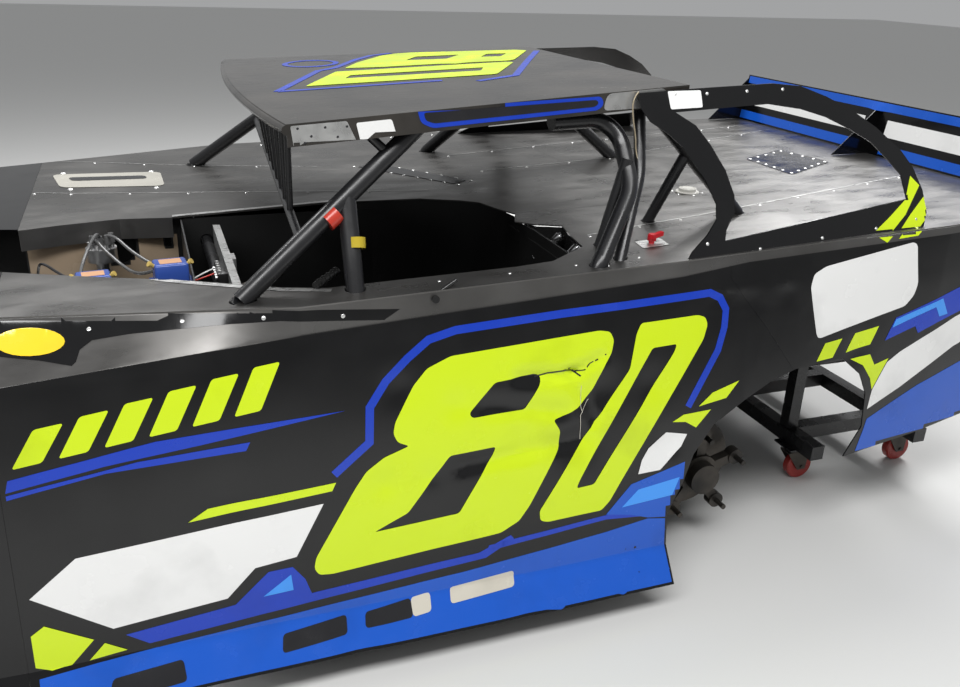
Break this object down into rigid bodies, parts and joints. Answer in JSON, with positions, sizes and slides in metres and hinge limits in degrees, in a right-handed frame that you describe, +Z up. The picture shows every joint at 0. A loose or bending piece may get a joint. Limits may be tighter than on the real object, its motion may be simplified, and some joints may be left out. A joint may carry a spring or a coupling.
{
  "type": "dirt track stock car",
  "caption": "Wide wedge-bodied dirt track car with open cockpit under a roof on a roll cage, hood off and rear wheels off, resting on a caster stand.",
  "frame": {"origin": "on the floor below the middle of the car, midway between the axles", "axes": "+X forward, +Y to the car's left, +Z up"},
  "size_m": [5.12, 2.296, 1.36],
  "materials": {
    "frame_black": "satin black powder coat",
    "body_black": "gloss black with blue and yellow-green bands",
    "deck_grey": "satin dark grey sheet",
    "cockpit_black": "black sheet",
    "bare_aluminium": "bare",
    "engine_iron": "painted castings",
    "axle_steel": "steel",
    "hub_metal": "machined",
    "stand_black": "black tube",
    "wheel_metal": "painted wheel",
    "tyre_rubber": "racing tyre",
    "caster_zinc": "zinc plated",
    "caster_red": "red tread"
  },
  "bodies": {
    "car": {"chassis_frame": "frame_black", "cage_halo": "frame_black", "cage_legs": "frame_black", "rock_screen": "frame_black", "roof_panel": "body_black", "door_panel_left": "body_black", "door_panel_right": "body_black", "quarter_panel_left": "body_black", "quarter_panel_right": "body_black", "deck_edge_left": "body_black", "deck_edge_right": "body_black", "fender_left": "body_black", "fender_right": "body_black", "nose": "body_black", "deck_left": "deck_grey", "deck_right": "deck_grey", "rear_deck": "deck_grey", "sail_left": "body_black", "sail_right": "body_black", "spoiler": "body_black", "tail_panel": "body_black", "cockpit_panels": "cockpit_black", "dash": "bare_aluminium", "engine_block": "engine_iron", "engine_top": "bare_aluminium", "radiator": "bare_aluminium", "fuel_cell": "frame_black", "rear_axle": "axle_steel", "rear_calipers": "hub_metal", "rear_links": "axle_steel", "rear_dampers": "axle_steel", "front_arms_left": "frame_black", "front_arms_right": "frame_black", "rack_housing": "bare_aluminium", "rear_stand": "stand_black"},
    "rear_hubs": {"rear_hub_left": "hub_metal", "rear_hub_right": "hub_metal"},
    "steer_left": {"knuckle_left": "axle_steel"},
    "steer_right": {"knuckle_right": "axle_steel"},
    "front_wheel_left": {"front_hub_left": "hub_metal", "rim_left": "wheel_metal", "tyre_left": "tyre_rubber"},
    "front_wheel_right": {"front_hub_right": "hub_metal", "rim_right": "wheel_metal", "tyre_right": "tyre_rubber"},
    "steering_rack": {"steering_rack": "axle_steel"},
    "steering_shaft": {"steering_column": "axle_steel"},
    "caster_fork_1": {"caster_yoke_1": "caster_zinc"},
    "caster_roller_1": {"caster_wheel_1": "caster_red"},
    "caster_fork_2": {"caster_yoke_2": "caster_zinc"},
    "caster_roller_2": {"caster_wheel_2": "caster_red"},
    "caster_fork_3": {"caster_yoke_3": "caster_zinc"},
    "caster_roller_3": {"caster_wheel_3": "caster_red"},
    "caster_fork_4": {"caster_yoke_4": "caster_zinc"},
    "caster_roller_4": {"caster_wheel_4": "caster_red"}
  },
  "joints": [
    {"name": "steering_shaft_turn", "type": "hinge", "parent": "car", "child": "steering_shaft", "pos_m": [-0.15, 0.48, 0.85], "axis": [-0.9397, 0, 0.342], "range_deg": [-270, 270]},
    {"name": "steer_left_turn", "type": "hinge", "parent": "car", "child": "steer_left", "pos_m": [1.308, 0.76, 0.348], "axis": [0, 0, 1], "range_deg": [-22, 22]},
    {"name": "steer_right_turn", "type": "hinge", "parent": "car", "child": "steer_right", "pos_m": [1.308, -0.76, 0.348], "axis": [0, 0, 1], "range_deg": [-22, 22]},
    {"name": "rack_slide", "type": "slide", "parent": "car", "child": "steering_rack", "axis": [0, 1, 0], "range_m": [-0.05244, 0.05244]},
    {"name": "front_wheel_left_roll", "type": "hinge", "parent": "steer_left", "child": "front_wheel_left", "pos_m": [1.308, 0.93, 0.348], "axis": [0, 1, 0], "continuous": true},
    {"name": "front_wheel_right_roll", "type": "hinge", "parent": "steer_right", "child": "front_wheel_right", "pos_m": [1.308, -0.93, 0.348], "axis": [0, 1, 0], "continuous": true},
    {"name": "rear_hubs_roll", "type": "hinge", "parent": "car", "child": "rear_hubs", "pos_m": [-1.308, 0, 0.235], "axis": [0, 1, 0], "continuous": true},
    {"name": "caster_1_swivel", "type": "hinge", "parent": "car", "child": "caster_fork_1", "pos_m": [-1.85, 0.64, 0.12], "axis": [0, 0, 1], "continuous": true},
    {"name": "caster_1_roll", "type": "hinge", "parent": "caster_fork_1", "child": "caster_roller_1", "pos_m": [-1.882, 0.64, 0.05], "axis": [0, 1, 0], "continuous": true},
    {"name": "caster_2_swivel", "type": "hinge", "parent": "car", "child": "caster_fork_2", "pos_m": [-1.85, -0.64, 0.12], "axis": [0, 0, 1], "continuous": true},
    {"name": "caster_2_roll", "type": "hinge", "parent": "caster_fork_2", "child": "caster_roller_2", "pos_m": [-1.882, -0.64, 0.05], "axis": [0, 1, 0], "continuous": true},
    {"name": "caster_3_swivel", "type": "hinge", "parent": "car", "child": "caster_fork_3", "pos_m": [-2.29, 0.64, 0.12], "axis": [0, 0, 1], "continuous": true},
    {"name": "caster_3_roll", "type": "hinge", "parent": "caster_fork_3", "child": "caster_roller_3", "pos_m": [-2.322, 0.64, 0.05], "axis": [0, 1, 0], "continuous": true},
    {"name": "caster_4_swivel", "type": "hinge", "parent": "car", "child": "caster_fork_4", "pos_m": [-2.29, -0.64, 0.12], "axis": [0, 0, 1], "continuous": true},
    {"name": "caster_4_roll", "type": "hinge", "parent": "caster_fork_4", "child": "caster_roller_4", "pos_m": [-2.322, -0.64, 0.05], "axis": [0, 1, 0], "continuous": true}
  ],
  "couplings": [
    {"joint": "steer_right_turn", "follows": "steer_left_turn", "ratio": 1},
    {"joint": "rack_slide", "follows": "steer_left_turn", "m_per_rad": 0.13657},
    {"joint": "steering_shaft_turn", "follows": "steer_left_turn", "ratio": 12.273}
  ]
}
